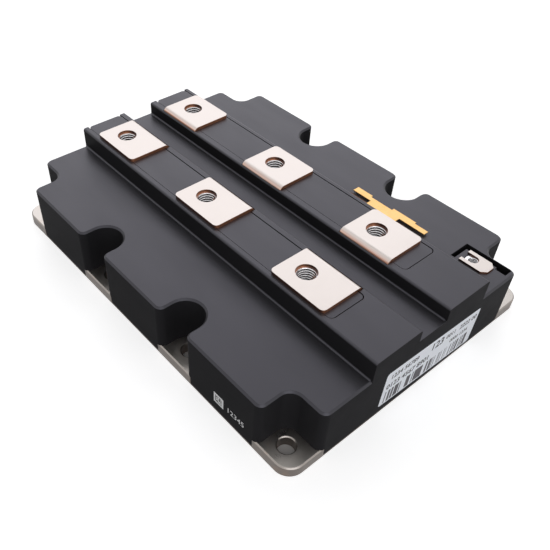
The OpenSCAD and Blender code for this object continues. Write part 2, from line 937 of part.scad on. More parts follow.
module emitter_pads() {
    color([0.78, 0.48, 0.32])
        pads(1);
}

module gate_pads() {
    color([0.78, 0.48, 0.32])
        at_tiles()
            translate([0, 0, copper_z])
                linear_extrude(copper_t)
                    gate_pad();
}

// Repeats a chip's parts in the four places along each tile
module at_chips() {
    at_tiles()
        for (i = [-1.5:1.5])
            translate([i * chip_step, 0, 0])
                children();
}

// A chip of side a, its middle at y of the tile
module chip(a, y) {
    translate([-a / 2, y - a / 2, pad_z])
        cube([a, a, chip_t]);
}

module igbt_chips() {
    color([0.55, 0.56, 0.6])
        at_chips()
            chip(igbt_side, igbt_mid);
}

module diode_chips() {
    color([0.45, 0.46, 0.52])
        at_chips()
            chip(diode_a, diode_mid);
}

// Ribbon of width w along Y that arches between its feet, each given as the Y of
// its middle and the Z it stands on
module ribbon(w, feet) {
    h = ribbon_foot / 2;
    top = chip_z + ribbon_rise;
    line = [
        for (f = feet, d = [-h - top + f[1], -h, h, h + top - f[1]])
            [f[0] + d, abs(d) > h ? top : f[1]]
    ];
    last = len(line) - 2;
    along_x(-w / 2, w / 2)
        polygon([
            for (k = [1:last]) line[k],
            for (k = [last:-1:1]) line[k] + [0, ribbon_t]
        ]);
}

module emitter_ribbons() {
    color([0.8, 0.8, 0.82])
        at_chips()
            ribbon(ribbon_w, [[emitter_mid, pad_z], [igbt_mid, chip_z], [diode_mid, chip_z]]);
}

module gate_ribbons() {
    color([0.8, 0.8, 0.82])
        at_chips()
            translate([gate_ribbon_w - igbt_side / 2, 0, 0])
                ribbon(
                    gate_ribbon_w,
                    [[igbt_mid + igbt_side / 2 - ribbon_foot / 2, chip_z], [gate_mid, pad_z]]
                );
}

// Pins from the gate and emitter pads up to the board
module pin_set(d, z0, z1) {
    at_tiles()
        for (y = [emitter_mid, gate_mid])
            translate([chip_step, y, z0])
                cylinder(d = d, h = z1 - z0, $fn = 24);
}

module control_pins() {
    color([0.8, 0.75, 0.6])
        pin_set(pin_d, pad_z, post_z + pin_stub);
}

// Board that spreads the gate signals, with windows for the terminals' legs
module gate_board() {
    color([0.12, 0.3, 0.2])
        difference() {
            translate([0, 0, board_z])
                linear_extrude(board_t)
                    slab(-board_x, board_x, -board_y, board_y, lobe_r);
            for (s = rows, x = main_x)
                on_side(s)
                    box(
                        [x - leg_w / 2 - board_play, x + leg_w / 2 + board_play],
                        [terminal_in - board_play, terminal_in + terminal_t + board_play],
                        [board_z - 1, post_z + 1]
                    );
            pin_set(pin_d, board_z - 1, post_z + 1);
        }
}

// Gel that fills the housing over the tiles, with room for what it surrounds
module silicone_gel() {
    color([0.85, 0.87, 0.9, 0.35])
        difference() {
            translate([0, 0, plate_t])
                linear_extrude(gel_z - plate_t)
                    housing_outline(wall, false);
            bottom_copper();
            ceramic_tiles();
            collector_pads();
            emitter_pads();
            gate_pads();
            igbt_chips();
            diode_chips();
            emitter_ribbons();
            gate_ribbons();
            control_pins();
            aux_collector_terminal();
            for (i = [0:2]) {
                collector_terminal(i);
                emitter_terminal(i);
            }
        }
}

// ---------------------------------------------------------------- label

module label() {
    color([0.9, 0.92, 0.95])
        label_sheet(label_t);
}

// ---------------------------------------------------------------- nodes

base_plate();
housing();
nut_bar(-1);  // nut_bar_front
nut_bar(1);  // nut_bar_back
emitter_terminal(0);  // emitter_terminal_1
emitter_terminal(1);  // emitter_terminal_2
emitter_terminal(2);  // emitter_terminal_3
collector_terminal(0);  // collector_terminal_1
collector_terminal(1);  // collector_terminal_2
collector_terminal(2);  // collector_terminal_3
main_nuts();
aux_collector_terminal();
gate_terminal();
aux_emitter_terminal();
aux_nuts();
shorting_strip();
bottom_copper();
ceramic_tiles();
collector_pads();
emitter_pads();
gate_pads();
igbt_chips();
diode_chips();
emitter_ribbons();
gate_ribbons();
control_pins();
gate_board();
silicone_gel();
label();
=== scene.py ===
"""Looks of a high-power IGBT module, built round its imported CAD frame.

Metres, in the frame of the CAD: +X is the end that carries the label, -Y the
side of the emitter row, +Z up, with the origin under the base plate.
"""

import json
import math

import bmesh
import bpy
from mathutils import Matrix, Vector


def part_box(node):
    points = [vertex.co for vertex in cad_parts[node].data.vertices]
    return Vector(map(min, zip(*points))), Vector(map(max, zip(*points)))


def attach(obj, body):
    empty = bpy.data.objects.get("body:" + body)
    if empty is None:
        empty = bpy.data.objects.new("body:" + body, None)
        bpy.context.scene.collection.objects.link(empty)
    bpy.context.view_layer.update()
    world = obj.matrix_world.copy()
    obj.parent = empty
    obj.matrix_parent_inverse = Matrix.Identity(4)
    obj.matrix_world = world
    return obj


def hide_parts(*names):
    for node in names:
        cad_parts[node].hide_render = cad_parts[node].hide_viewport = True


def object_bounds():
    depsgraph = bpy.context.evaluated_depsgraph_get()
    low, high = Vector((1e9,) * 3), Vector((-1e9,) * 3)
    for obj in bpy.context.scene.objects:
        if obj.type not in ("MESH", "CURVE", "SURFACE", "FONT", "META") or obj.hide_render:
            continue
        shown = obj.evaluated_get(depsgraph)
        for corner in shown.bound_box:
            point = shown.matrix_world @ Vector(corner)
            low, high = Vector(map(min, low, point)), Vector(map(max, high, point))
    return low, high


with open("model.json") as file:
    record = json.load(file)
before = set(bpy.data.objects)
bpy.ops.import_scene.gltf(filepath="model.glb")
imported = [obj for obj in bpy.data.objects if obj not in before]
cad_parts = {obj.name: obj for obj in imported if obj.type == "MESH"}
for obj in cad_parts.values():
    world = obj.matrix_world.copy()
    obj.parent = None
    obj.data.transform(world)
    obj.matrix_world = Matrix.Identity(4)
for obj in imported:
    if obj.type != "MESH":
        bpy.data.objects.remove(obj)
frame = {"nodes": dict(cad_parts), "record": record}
cad_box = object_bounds()

MM = 0.001

# ------------------------------------------------------------------ shaders

# where nearly all of a noise's values lie
NOISE_RANGE = (0.3, 0.7)
BEVEL_SAMPLES = 6


class Shader:
    """A material under construction, with short calls for the nodes it needs."""

    def __init__(self, name):
        self.material = bpy.data.materials.new(name)
        self.material.use_nodes = True
        self.tree = self.material.node_tree
        self.bsdf = self.tree.nodes["Principled BSDF"]
        self.output = self.tree.nodes["Material Output"]
        geometry = self.tree.nodes.new("ShaderNodeNewGeometry")
        self.position = geometry.outputs["Position"]
        self.normal = geometry.outputs["Normal"]
        self.pointed = geometry.outputs["Pointiness"]

    def link(self, value, socket):
        """Feeds a socket from another socket or from a plain value."""
        if isinstance(value, bpy.types.NodeSocket):
            self.tree.links.new(value, socket)
        else:
            socket.default_value = value

    def math(self, operation, a, b=0.0):
        node = self.tree.nodes.new("ShaderNodeMath")
        node.operation = operation
        self.link(a, node.inputs[0])
        self.link(b, node.inputs[1])
        return node.outputs[0]

    def split(self, vector):
        node = self.tree.nodes.new("ShaderNodeSeparateXYZ")
        self.link(vector, node.inputs[0])
        return node.outputs

    def join(self, x, y, z):
        node = self.tree.nodes.new("ShaderNodeCombineXYZ")
        for value, socket in zip((x, y, z), node.inputs):
            self.link(value, socket)
        return node.outputs[0]

    def scaled(self, factors):
        """The place on the surface, with each axis scaled by its own factor."""
        node = self.tree.nodes.new("ShaderNodeVectorMath")
        node.operation = "MULTIPLY"
        self.link(self.position, node.inputs[0])
        node.inputs[1].default_value = factors
        return node.outputs[0]

    def noise(self, size, detail=3.0, roughness=0.5, stretch=(1, 1, 1)):
        """Noise whose features are about size metres across."""
        node = self.tree.nodes.new("ShaderNodeTexNoise")
        self.link(self.scaled([s / size for s in stretch]), node.inputs["Vector"])
        node.inputs["Scale"].default_value = 1.0
        node.inputs["Detail"].default_value = detail
        node.inputs["Roughness"].default_value = roughness
        return node.outputs[0]

    def white(self, vector):
        """An even random value from 0 to 1 for each vector."""
        node = self.tree.nodes.new("ShaderNodeTexWhiteNoise")
        node.noise_dimensions = "3D"
        self.link(vector, node.inputs["Vector"])
        return node.outputs["Value"]

    def span(self, value, low, high, to_low=0.0, to_high=1.0):
        """Takes low to to_low and high to to_high, and what lies outside to the nearer."""
        node = self.tree.nodes.new("ShaderNodeMapRange")
        node.clamp = True
        self.link(value, node.inputs["Value"])
        for socket, number in zip(node.inputs[1:5], (low, high, to_low, to_high)):
            socket.default_value = number
        return node.outputs[0]

    def spread(self, noise, to_low, to_high):
        """Takes the usual range of a noise to another one."""
        return self.span(noise, *NOISE_RANGE, to_low, to_high)

    def upward(self, start, full, to_low=0.0, to_high=1.0):
        """Grows as a face turns up, from start to full of its normal's Z."""
        return self.span(self.split(self.normal)[2], start, full, to_low, to_high)

    def mix(self, factor, a, b):
        node = self.tree.nodes.new("ShaderNodeMix")
        node.data_type = "RGBA"
        self.link(factor, node.inputs["Factor"])
        # the node has sockets for every kind of value, and these are for colours
        self.link(a, node.inputs[6])
        self.link(b, node.inputs[7])
        return node.outputs[2]

    def rounded(self, radius):
        """The normal, with edges made to look rounded."""
        node = self.tree.nodes.new("ShaderNodeBevel")
        node.samples = BEVEL_SAMPLES
        node.inputs["Radius"].default_value = radius
        return node.outputs[0]

    def bump(self, height, depth, normal=None):
        node = self.tree.nodes.new("ShaderNodeBump")
        node.inputs["Strength"].default_value = 1.0
        node.inputs["Distance"].default_value = depth
        self.link(height, node.inputs["Height"])
        if normal is not None:
            self.link(normal, node.inputs["Normal"])
        return node.outputs[0]

    def set(self, **sockets):
        """Sets sockets of the shader by name, with _ for a space; returns the material."""
        for name, value in sockets.items():
            self.link(value, self.bsdf.inputs[name.replace("_", " ")])
        return self.material


def grey(value):
    return (value, value, value, 1.0)


def shade(tone, factor):
    """An opaque colour from three channels, darkened or lightened by factor."""
    return (*(channel * factor for channel in tone), 1.0)


# ------------------------------------------------------------------ materials

LABEL_TILT = math.radians(-2.5)

# a face counts as turned to an axis from this much of its unit normal on
FACING = 0.6

# an upright face of a terminal is a sheared edge, and not a bend or a leg,
# where it lies farther than this from the middle plane Y = 0
SHEARED_FROM = 12 * MM

# strength of the floor's glow for the lens, the share of it that reflections
# see, and how far it reaches in under the edge of the base plate
FLOOR_GLOW = 0.64
REFLECTED_GLOW = 0.5
SHADE_INSET = 2.5 * MM


def plastic(name, edge_radius):
    """Black glass-filled moulding: fine grain, duller on the upright walls."""
    shader = Shader(name)
    tone = (0.0185, 0.018, 0.0195)
    sheen = (0.88, 0.865, 1.0, 1)
    grain = shader.noise(size=0.28 * MM, detail=2.0)
    cloud = shader.noise(size=34 * MM, detail=4.0, roughness=0.6)
    flow = shader.noise(size=9 * MM, stretch=(0.25, 1, 1))
    rubbed = shader.noise(size=2.2 * MM, detail=5.0, roughness=0.75, stretch=(0.3, 1, 1))
    scuffs = shader.span(rubbed, 0.66, 0.78)
    return shader.set(
        Base_Color=shader.mix(cloud, shade(tone, 0.85), shade(tone, 1.2)),
        Roughness=shader.math(
            "ADD", shader.spread(flow, 0.37, 0.44), shader.math("MULTIPLY", scuffs, 0.06)
        ),
        Normal=shader.bump(grain, 0.012 * MM, shader.rounded(edge_radius)),
        Specular_IOR_Level=shader.upward(0.1, 0.9, to_low=0.01, to_high=0.86),
        Specular_Tint=sheen,
        IOR=1.5,
    )


def nickel(name):
    """Nickel-plated copper: satin, with rolling marks along X and darker sawn sides."""
    shader = Shader(name)
    plated_dark = (0.50, 0.47, 0.44, 1)
    plated_pale = (0.66, 0.62, 0.58, 1)
    worn_thin = (0.52, 0.42, 0.35, 1)
    sawn_grey = (0.24, 0.21, 0.19, 1)
    sawn_brown = (0.31, 0.24, 0.20, 1)
    rolled = shader.noise(size=0.5 * MM, detail=4.0, roughness=0.6, stretch=(0.05, 1, 1))
    patches = shader.noise(size=12 * MM, detail=4.0, roughness=0.65)
    copper = shader.span(shader.noise(size=6 * MM, detail=4.0, roughness=0.6), 0.55, 0.75)
    plated = shader.mix(patches, plated_dark, plated_pale)
    worn = shader.mix(shader.math("MULTIPLY", copper, 0.35), plated, worn_thin)
    sawn = shader.mix(copper, sawn_grey, sawn_brown)
    return shader.set(
        Base_Color=shader.mix(shader.upward(0.6, 0.95), sawn, worn),
        Metallic=1.0,
        Roughness=shader.spread(patches, 0.26, 0.38),
        Normal=shader.bump(rolled, 0.004 * MM, shader.rounded(0.25 * MM)),
    )


def plated_copper(name):
    """Bright plated sheet, with bare copper on the sheared edges, and painted shade on its bends
    and on the edges along X.
    """
    shader = Shader(name)
    plate_dark = (0.63, 0.58, 0.55, 1)
    plate_pale = (0.68, 0.63, 0.595, 1)
    copper_dark = (0.36, 0.15, 0.08, 1)
    copper_pale = (0.56, 0.26, 0.15, 1)
    # painted shade for the sheared edges that run along X
    painted_edge_shade = (0.12, 0.06, 0.045, 1)
    # the rose colours of the painted shade on the bends
    bend_shade_dark = (0.40, 0.17, 0.10, 1)
    bend_shade_pale = (0.78, 0.54, 0.44, 1)
    nx, ny, nz = shader.split(shader.normal)
    py = shader.split(shader.position)[1]
    upright = shader.math("LESS_THAN", shader.math("ABSOLUTE", nz), FACING)
    outside = shader.math("GREATER_THAN", shader.math("ABSOLUTE", py), SHEARED_FROM)
    end = shader.math("GREATER_THAN", shader.math("ABSOLUTE", nx), FACING)
    cut = shader.math("MAXIMUM", shader.math("MULTIPLY", upright, outside), end)
    cloud = shader.noise(size=7 * MM, detail=4.0, roughness=0.6)
    brushed = shader.noise(size=0.35 * MM, roughness=0.6, stretch=(0.06, 1, 1))
    # painted shade: sheared edges that run along X are darker than those at the ends, standing in
    # for their reflection of the dark housing
    edge_shade_mask = shader.span(shader.math("ABSOLUTE", ny), 0.5, 0.95)
    copper = shader.mix(edge_shade_mask, shader.mix(cloud, copper_dark, copper_pale), painted_edge_shade)
    # painted shade on the bend: a rose colour that deepens as the face turns away from up, with
    # streaks along it
    bend_shade_mask = shader.math(
        "MULTIPLY", shader.span(nz, 0.45, 0.96, 1.0, 0.0), shader.math("GREATER_THAN", nz, 0.02)
    )
    streaks = shader.noise(size=0.9 * MM, detail=2.0, stretch=(0.02, 1, 1))
    painted_bend_shade = shader.mix(shader.span(streaks, 0.35, 0.65), bend_shade_dark, bend_shade_pale)
    plate = shader.mix(
        shader.math("MULTIPLY", bend_shade_mask, 0.95), shader.mix(cloud, plate_dark, plate_pale), painted_bend_shade
    )
    return shader.set(
        Base_Color=shader.mix(cut, plate, copper),
        Metallic=1.0,
        Roughness=shader.math(
            "ADD", shader.spread(cloud, 0.30, 0.38), shader.math("MULTIPLY", cut, 0.12)
        ),
        Normal=shader.bump(brushed, 0.003 * MM, shader.rounded(0.2 * MM)),
    )


def brushed_metal(name, dark, light, rough, shaded_roots=False):
    """Plain metal with fine marks and clouded gloss, and, when asked, painted shade in the concave
    roots of its thread.
    """
    shader = Shader(name)
    # near-black painted shade for the concave roots of a thread
    root_shade = (0.02, 0.018, 0.018, 1)
    cloud = shader.noise(size=5 * MM, detail=4.0, roughness=0.6)
    marks = shader.noise(size=0.4 * MM, roughness=0.6, stretch=(0.15, 1, 1))
    colour = shader.mix(cloud, dark, light)
    # painted shade where the surface is concave, in the roots of the thread
    if shaded_roots:
        colour = shader.mix(shader.span(shader.pointed, 0.47, 0.53), root_shade, colour)
    return shader.set(
        Base_Color=colour,
        Metallic=1.0,
        Roughness=shader.spread(cloud, rough - 0.05, rough + 0.05),
        Normal=shader.bump(marks, 0.003 * MM, shader.rounded(0.15 * MM)),
    )


def ceramic(name):
    """Unglazed tile, speckled."""
    shader = Shader(name)
    speck = shader.noise(size=0.4 * MM)
    return shader.set(
        Base_Color=shader.mix(speck, (0.72, 0.70, 0.66, 1), (0.84, 0.82, 0.78, 1)),
        Roughness=shader.spread(speck, 0.45, 0.6),
        Normal=shader.bump(speck, 0.01 * MM),
    )


def silicon(name):
    """Metallised chip, with a faint film."""
    shader = Shader(name)
    film = shader.noise(size=2 * MM, detail=2.0)
    return shader.set(
        Base_Color=shader.mix(film, (0.25, 0.27, 0.34, 1), (0.42, 0.42, 0.46, 1)),
        Metallic=0.9,
        Roughness=shader.spread(film, 0.15, 0.3),
    )


def laminate(name):
    """Green circuit board, with the weave of its glass cloth."""
    shader = Shader(name)
    radians_per_metre = 9000.0
    wave_x, wave_y = (
        shader.math("SINE", shader.math("MULTIPLY", place, radians_per_metre))
        for place in shader.split(shader.position)[:2]
    )
    weave = shader.math("MULTIPLY", wave_x, wave_y)
    return shader.set(
        Base_Color=shader.mix(
            shader.span(weave, -1, 1), (0.02, 0.16, 0.07, 1), (0.03, 0.22, 0.10, 1)
        ),
        Roughness=0.35,
        Normal=shader.bump(weave, 0.01 * MM),
    )


def gel(name):
    """Clear soft silicone, faintly hazed."""
    shader = Shader(name)
    haze = shader.noise(size=8 * MM)
    return shader.set(
        Base_Color=shader.mix(haze, (0.74, 0.77, 0.80, 1), (0.86, 0.88, 0.90, 1)),
        Roughness=shader.spread(haze, 0.1, 0.2),
        Alpha=0.45,
        IOR=1.41,
    )


def label_paper(name, centre):
    """White foil with one row of plain bars, which follows the label's tilt.

    The row's places and widths are millimetres from the centre of the foil.
    """
    shader = Shader(name)
    white_dark = (0.90, 0.93, 1.0, 1)
    white_pale = (0.95, 0.97, 1.0, 1)
    black = (0.05, 0.045, 0.055, 1)
    cosine = math.cos(LABEL_TILT)
    sine = math.sin(LABEL_TILT)
    py, pz = shader.split(shader.position)[1:]
    dy = shader.math("SUBTRACT", py, centre.y)
    dz = shader.math("SUBTRACT", pz, centre.z)
    along = shader.math(
        "ADD", shader.math("MULTIPLY", dy, cosine), shader.math("MULTIPLY", dz, sine)
    )
    up = shader.math(
        "SUBTRACT", shader.math("MULTIPLY", dz, cosine), shader.math("MULTIPLY", dy, sine)
    )

    def window(value, start, end):
        return shader.math(
            "MULTIPLY",
            shader.math("GREATER_THAN", value, start * MM),
            shader.math("LESS_THAN", value, end * MM),
        )

    def stripes(width, seed, share):
        """Upright stripes of one width, of which a share are inked."""
        stripe = shader.math("FLOOR", shader.math("DIVIDE", along, width * MM))
        return shader.math("LESS_THAN", shader.white(shader.join(stripe, 0.0, seed)), share)

    wide = shader.math(
        "MULTIPLY",
        stripes(width=0.62, seed=3.0, share=0.62),
        shader.math("MAXIMUM", window(along, -26.0, -3.0), window(along, 13.0, 26.0)),
    )
    fine = shader.math(
        "MULTIPLY", stripes(width=0.4, seed=5.0, share=0.42), window(along, -2.0, 11.5)
    )
    bars = shader.math("MULTIPLY", window(up, -9.0, -2.2), shader.math("MAXIMUM", wide, fine))
    paper = shader.mix(shader.noise(size=3 * MM, detail=4.0), white_dark, white_pale)
    return shader.set(
        Base_Color=shader.mix(bars, paper, black),
        Roughness=shader.spread(shader.noise(size=0.8 * MM), 0.38, 0.5),
        Normal=shader.bump(shader.noise(size=0.2 * MM), 0.004 * MM),
    )


def ink(name, tone, cover):
    """Thin print that lets a little of the ground show."""
    shader = Shader(name)
    worn = shader.span(shader.noise(size=0.3 * MM), 0.25, 0.5, cover, 1.0)
    return shader.set(
        Base_Color=shader.mix(worn, grey(tone * 0.5), grey(tone)),
        Roughness=0.55,
    )


def floor_material():
    """Pale matt paper, with a glow that lights nothing.

    The lens sees the whole glow, which brings the paper to white, and
    reflections see a part of it.
    """
    shader = Shader("studio_floor")
    nodes = shader.tree.nodes
    path = nodes.new("ShaderNodeLightPath")
    straight = shader.math(
        "MAXIMUM", path.outputs["Is Camera Ray"], path.outputs["Is Transmission Ray"]
    )
    mirrored = shader.math("MULTIPLY", path.outputs["Is Glossy Ray"], REFLECTED_GLOW)
    # no glow in the shade under the base plate, where its holes show the floor
    within_x, within_y = (
        shader.math("LESS_THAN", shader.math("ABSOLUTE", place), reach - SHADE_INSET)
        for place, reach in zip(shader.split(shader.position)[:2], cad_box[1])
    )
    open_floor = shader.math("SUBTRACT", 1.0, shader.math("MULTIPLY", within_x, within_y))
    seen = shader.math("MULTIPLY", shader.math("MAXIMUM", straight, mirrored), open_floor)
    glow = nodes.new("ShaderNodeEmission")
    glow.inputs["Color"].default_value = grey(1.0)
    shader.link(shader.math("MULTIPLY", seen, FLOOR_GLOW), glow.inputs["Strength"])
    shader.set(
        Base_Color=shader.mix(shader.noise(size=0.2, detail=2.0), grey(0.80), grey(0.82)),
        Roughness=0.9,
        Specular_IOR_Level=0.1,
    )
    both = nodes.new("ShaderNodeAddShader")
    shader.link(shader.bsdf.outputs[0], both.inputs[0])
    shader.link(glow.outputs[0], both.inputs[1])
    shader.link(both.outputs[0], shader.output.inputs["Surface"])
    return shader.material


# ------------------------------------------------------------------ pieces

# points round a nut, and rows of them in one pitch of its thread
NUT_SIDES = 36
ROWS_PER_PITCH = 8

# a thread's flat crest and root, as shares of half its pitch
THREAD_FLAT = 0.12

# length of the countersink at the top, in pitches
LEAD_IN = 0.6

# the nut's chamfer: its height, and the radius of its round top, as shares of
# the width and of the half width across flats
RIM = 0.045
CROWN = 0.97

# height of a figure as a share of its font's size
FIGURE_HEIGHT = 0.7

SIDE_RIGHT = Vector((1, 0, 0))
SIDE_UP = Vector((0, 0, 1))


def middle(node):
    low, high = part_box(node)
    return (Vector(low) + Vector(high)) / 2


def mesh_piece(name, mesh, material, body="root"):
    piece = bpy.data.objects.new(name, mesh)
    bpy.context.scene.collection.objects.link(piece)
    mesh.materials.append(material)
    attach(piece, body)
    return piece


def add_threaded_nut(bm, centre, top, height, across_flats, minor, major, pitch, turn):
    """Adds a hexagonal nut with a helical thread to bm; centre is its axis in X and Y."""
    bottom = top - height
    rows = int(height / pitch * ROWS_PER_PITCH)

    def thread(angle, z):
        phase = (z / pitch + angle / (2 * math.pi)) % 1.0
        ridge = abs(2 * phase - 1)
        depth = min(max((ridge - THREAD_FLAT) / (1 - 2 * THREAD_FLAT), 0.0), 1.0)
        lead = min(1.0, (top - z) / (LEAD_IN * pitch))
        return minor + (major - minor) * max(depth, 1 - lead)

    def hexagon(angle):
        local = (angle - turn) % (math.pi / 3) - math.pi / 6
        return across_flats / 2 / math.cos(local)

    def ring(z, reach):
        out = []
        for i in range(NUT_SIDES):
            angle = 2 * math.pi * i / NUT_SIDES
            r = reach(angle)
            x = centre[0] + r * math.cos(angle)
            y = centre[1] + r * math.sin(angle)
            out.append(bm.verts.new((x, y, z)))
        return out

    def bridge(lower, upper):
        for i in range(NUT_SIDES):
            j = (i + 1) % NUT_SIDES
            bm.faces.new((lower[i], lower[j], upper[j], upper[i]))

    heights = [bottom + height * k / rows for k in range(rows + 1)]
    bore = [ring(z, lambda angle, z=z: thread(angle, z)) for z in heights]
    for lower, upper in zip(bore[1:], bore[:-1]):
        bridge(lower, upper)
    crown = ring(top, lambda angle: across_flats / 2 * CROWN)
    shoulder = ring(top - RIM * across_flats, hexagon)
    foot = ring(bottom, hexagon)
    bridge(crown, bore[-1])
    bridge(shoulder, crown)
    bridge(foot, shoulder)
    bridge(bore[0], foot)


def threaded_nuts(name, node, places, size, material):
    """Nuts with real threads in place of a node's plain ones."""
    low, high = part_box(node)
    bm = bmesh.new()
    for place in places:
        add_threaded_nut(bm, place, high[2], high[2] - low[2], **size)
    bmesh.ops.recalc_face_normals(bm, faces=bm.faces)
    mesh = bpy.data.meshes.new(name)
    bm.to_mesh(mesh)
    bm.free()
    piece = mesh_piece(name, mesh, material)
    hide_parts(node)


def digits(name, text, height, matrix, material, weight=0.026):
    """Plain number lying flat on a face; matrix takes its X and Y to the face.

    weight thickens the strokes, as a share of the font's size.
    """
    curve = bpy.data.curves.new(name, "FONT")
    curve.body = text
    curve.size = height / FIGURE_HEIGHT
    curve.offset = weight * curve.size
    curve.align_x = "LEFT"
    curve.resolution_u = 3
    source = bpy.data.objects.new(name + "_outline", curve)
    bpy.context.scene.collection.objects.link(source)
    bpy.context.view_layer.update()
    outline = source.evaluated_get(bpy.context.evaluated_depsgraph_get())
    mesh = bpy.data.meshes.new_from_object(outline)
    bpy.data.objects.remove(source)
    mesh.transform(matrix)
    mesh.materials.clear()
    mesh_piece(name, mesh, material)


def face_matrix(origin, right, up):
    """Matrix that takes X to right, Y to up and the zero point to origin."""
    right = Vector(right).normalized()
    up = Vector(up).normalized()
    matrix = Matrix((right, up, right.cross(up))).transposed().to_4x4()
    matrix.translation = Vector(origin)
    return matrix


def is_inked(i, j, cells):
    """Two solid sides, two dashed ones, and a fixed scatter between them."""
    last = cells - 1
    if i == 0 or j == 0:
        return True
    if i == last or j == last:
        return (i == last and j % 2 == 0) or (j == last and i % 2 == 0)
    return (i * 7 + j * 13 + i * j * 5) % 11 < 6


def code_square(name, origin, side, cells, material):
    """Square of inked cells on the long side; a single cell gives a plain square."""
    bm = bmesh.new()
    step = side / cells
    right = SIDE_RIGHT * step
    up = SIDE_UP * step
    for i in range(cells):
        for j in range(cells):
            if is_inked(i, j, cells):
                corner = Vector(origin) + SIDE_RIGHT * (i * step) + SIDE_UP * (j * step)
                quad = [corner, corner + right, corner + right + up, corner + up]
                bm.faces.new([bm.verts.new(point) for point in quad])
    bmesh.ops.remove_doubles(bm, verts=bm.verts, dist=step / 100)
    mesh = bpy.data.meshes.new(name)
    bm.to_mesh(mesh)
    bm.free()
    mesh_piece(name, mesh, material)


# ------------------------------------------------------------------ the object

# the main terminals
ROWS = ("emitter", "collector")
COLUMNS = (1, 2, 3)

M8_NUT = dict(
    across_flats=13 * MM, minor=3.4 * MM, major=4.0 * MM, pitch=1.25 * MM, turn=0.0
)
M4_NUT = dict(
    across_flats=7 * MM, minor=1.65 * MM, major=2.0 * MM, pitch=0.7 * MM, turn=math.pi / 6
)

# screw axis of an auxiliary terminal, from the end of its open fork
FORK_TO_SCREW = 4.4 * MM

housing_plastic = plastic("housing_plastic", edge_radius=0.3 * MM)
carrier_plastic = plastic("carrier_plastic", edge_radius=0.2 * MM)
plate_nickel = nickel("plate_nickel")
terminal_metal = plated_copper("terminal_metal")
steel = brushed_metal(
    "nut_steel", (0.62, 0.61, 0.62, 1), (0.85, 0.84, 0.86, 1), rough=0.2, shaded_roots=True
)
strip_brass = brushed_metal(
    "strip_brass", (0.66, 0.36, 0.12, 1), (0.86, 0.60, 0.27, 1), rough=0.3
)
soft_aluminium = brushed_metal(
    "soft_aluminium", (0.70, 0.70, 0.72, 1), (0.80, 0.80, 0.82, 1), rough=0.25
)
# a near-black brown for the copper tabs under the shorting strip: painted shade, standing in for
# the strip's shade on them
strip_shade_copper = brushed_metal(
    "strip_shade_copper", (0.07, 0.035, 0.025, 1), (0.14, 0.07, 0.05, 1), rough=0.4
)
bare_copper = brushed_metal(
    "bare_copper", (0.66, 0.34, 0.22, 1), (0.80, 0.46, 0.32, 1), rough=0.35
)

FINISHES = {
    "base_plate": plate_nickel,
    "housing": housing_plastic,
    "nut_bar_front": carrier_plastic,
    "nut_bar_back": carrier_plastic,
    "aux_collector_terminal": plated_copper("tab_metal"),
    "gate_terminal": strip_shade_copper,
    "aux_emitter_terminal": strip_shade_copper,
    "shorting_strip": strip_brass,
    "bottom_copper": bare_copper,
    "collector_pads": bare_copper,
    "emitter_pads": bare_copper,
    "gate_pads": bare_copper,
    "control_pins": brushed_metal(
        "pin_tin", (0.6, 0.58, 0.55, 1), (0.75, 0.72, 0.68, 1), rough=0.3
    ),
    "ceramic_tiles": ceramic("tile_ceramic"),
    "igbt_chips": silicon("igbt_silicon"),
    "diode_chips": silicon("diode_silicon"),
    "gate_board": laminate("board_laminate"),
    "emitter_ribbons": soft_aluminium,
    "gate_ribbons": soft_aluminium,
    "silicone_gel": gel("gel"),
    "label": label_paper("label_paper", middle("label")),
}
for column in COLUMNS:
    for row in ROWS:
        FINISHES[f"{row}_terminal_{column}"] = terminal_metal

for node, material in FINISHES.items():
    mesh_object = frame["nodes"][node]
    mesh_object.data.materials.clear()
    mesh_object.data.materials.append(material)


def aux_screw(node):
    low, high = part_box(node)
    return (low[0] + FORK_TO_SCREW, (low[1] + high[1]) / 2)


mounts = {mount["name"]: mount for mount in frame["record"]["mounts"]}
main_screws = [
    mounts[f"{row}_thread_{column}"]["pos_m"][:2] for row in ROWS for column in COLUMNS
]
aux_screws = [
    aux_screw(node) for node in ("gate_terminal", "aux_emitter_terminal", "aux_collector_terminal")
]
threaded_nuts("m8_nuts", "main_nuts", main_screws, M8_NUT, steel)
threaded_nuts("m4_nuts", "aux_nuts", aux_screws, M4_NUT, steel)

# ------------------------------------------------------------------ print

PRINT_LIFT = 0.006 * MM

# piece, text, height of its figures, and its start from the foil's centre,
# along the label and up it, in millimetres
LABEL_LINES = [
    ("label_row_1", "1234 56789", 2.4, -25.5, 4.6),
    ("label_row_2", "0123 4567 8901", 2.7, -26.5, -0.6),
    ("label_row_3", "123", 3.8, -2.0, 3.9),
    ("label_row_4", "0011", 2.2, 7.5, 4.6),
    ("label_row_5", "2222 00", 2.4, 16.0, 4.6),
    ("label_row_6", "0000 1234", 1.9, 11.5, 0.0),
]

black_ink = ink("label_ink", tone=0.03, cover=0.8)
pale_ink = ink("side_ink", tone=0.85, cover=0.7)

label_right = Vector((0, math.cos(LABEL_TILT), math.sin(LABEL_TILT)))
label_up = Vector((0, -math.sin(LABEL_TILT), math.cos(LABEL_TILT)))


def on_label(along, up):
    centre = middle("label")
    origin = Vector((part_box("label")[1][0] + PRINT_LIFT, centre.y, centre.z))
    origin += label_right * along * MM + label_up * up * MM
    return face_matrix(origin, label_right, label_up)


def on_side(x, z, lifts=1):
    """Place on the long side, in millimetres, lifted off it by so many prints."""
    return (x * MM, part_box("housing")[0][1] - lifts * PRINT_LIFT, z * MM)


for name, text, height, along, up in LABEL_LINES:
    digits(name, text, height * MM, on_label(along, up), black_ink)

